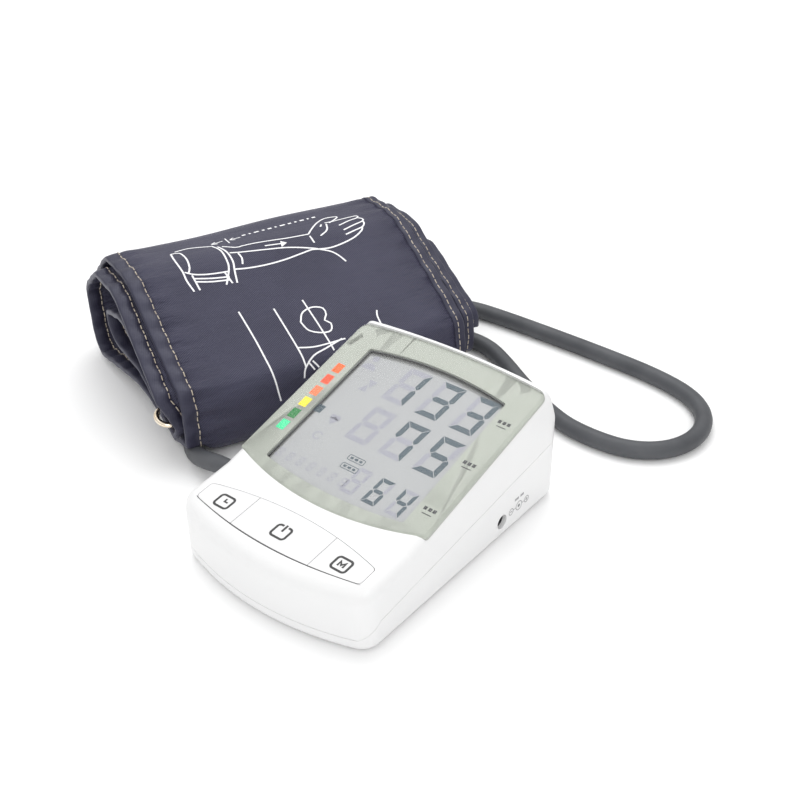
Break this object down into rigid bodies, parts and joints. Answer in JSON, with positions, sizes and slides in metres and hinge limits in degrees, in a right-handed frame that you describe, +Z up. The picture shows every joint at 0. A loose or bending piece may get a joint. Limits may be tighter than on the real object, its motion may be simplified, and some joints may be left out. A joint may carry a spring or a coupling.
{
  "type": "upper arm blood pressure monitor",
  "caption": "Table-top upper arm blood pressure monitor with a sloping display, press keys, a hose and a rolled nylon arm cuff.",
  "frame": {"origin": "on the table, under the middle of the box round the monitor and its cuff", "axes": "+X to the right of the monitor as its user sees it, +Y to its rear, +Z up from the table"},
  "size_m": [0.3301, 0.279, 0.0743],
  "materials": {
    "white_plastic": "satin moulded ABS",
    "clear_lens": "clear acrylic plate with a bevelled edge",
    "lens_border": "printed grey-green border",
    "lcd_glass": "grey liquid crystal panel",
    "dark_plastic": "black moulded plastic",
    "sensor_plastic": "grey moulded plastic",
    "circuit_board": "green solder resist",
    "silicone": "soft silicone",
    "steel": "nickel-plated steel",
    "pump_plastic": "black moulded pump head",
    "cell_wrap": "plain cell sleeve",
    "foot_rubber": "grey rubber",
    "hose_rubber": "matt dark grey rubber",
    "cuff_nylon": "navy grey nylon twill",
    "bladder_rubber": "black bladder film",
    "hook_pile": "hook tape",
    "ring_metal": "polished light gold plating"
  },
  "bodies": {
    "monitor": {"air_manifold": "dark_plastic", "air_pump": "pump_plastic", "air_socket": "dark_plastic", "bottom_case": "white_plastic", "buzzer": "dark_plastic", "case_screws": "steel", "cell_1": "cell_wrap", "cell_2": "cell_wrap", "cell_3": "cell_wrap", "cell_4": "cell_wrap", "contact_springs": "steel", "controller_chip": "dark_plastic", "dc_jack": "dark_plastic", "dc_jack_pin": "steel", "display_lens": "clear_lens", "display_mask": "lens_border", "foot_front_left": "foot_rubber", "foot_front_right": "foot_rubber", "foot_rear_left": "foot_rubber", "foot_rear_right": "foot_rubber", "front_contacts": "steel", "key_board": "circuit_board", "lcd_connector": "silicone", "lcd_holder": "dark_plastic", "lcd_panel": "lcd_glass", "main_board": "circuit_board", "memory_chip": "dark_plastic", "pressure_sensor": "sensor_plastic", "pump_motor": "steel", "rear_contacts": "steel", "release_valve": "sensor_plastic", "switch_clock": "dark_plastic", "switch_memory": "dark_plastic", "switch_power": "dark_plastic", "top_case": "white_plastic", "tube_pump": "silicone", "tube_sensor": "silicone", "tube_socket": "silicone", "tube_valve": "silicone"},
    "key_clock": {"button_clock": "white_plastic"},
    "key_power": {"button_power": "white_plastic"},
    "key_memory": {"button_memory": "white_plastic"},
    "door": {"battery_door": "white_plastic"},
    "cuff_set": {"cuff_bladder": "bladder_rubber", "cuff_end_flap": "cuff_nylon", "cuff_hook_patch": "hook_pile", "cuff_inner_turn": "cuff_nylon", "cuff_lining": "cuff_nylon", "cuff_port": "sensor_plastic", "cuff_ring": "ring_metal", "cuff_shell": "cuff_nylon", "hose": "hose_rubber", "air_plug": "dark_plastic"}
  },
  "joints": [
    {"name": "key_clock_press", "type": "slide", "parent": "monitor", "child": "key_clock", "axis": [0, 0, -1], "range_m": [0, 0.0008], "stiffness_N_per_m": 800, "springref_m": -0.0005},
    {"name": "key_power_press", "type": "slide", "parent": "monitor", "child": "key_power", "axis": [0, 0, -1], "range_m": [0, 0.0008], "stiffness_N_per_m": 800, "springref_m": -0.0005},
    {"name": "key_memory_press", "type": "slide", "parent": "monitor", "child": "key_memory", "axis": [0, 0, -1], "range_m": [0, 0.0008], "stiffness_N_per_m": 800, "springref_m": -0.0005},
    {"name": "battery_door_slide", "type": "slide", "parent": "monitor", "child": "door", "axis": [0, 1, 0], "range_m": [0, 0.012]},
    {"name": "cuff_plug_pull", "type": "slide", "parent": "monitor", "child": "cuff_set", "axis": [-1, 0, 0], "range_m": [0, 0.014]}
  ]
}
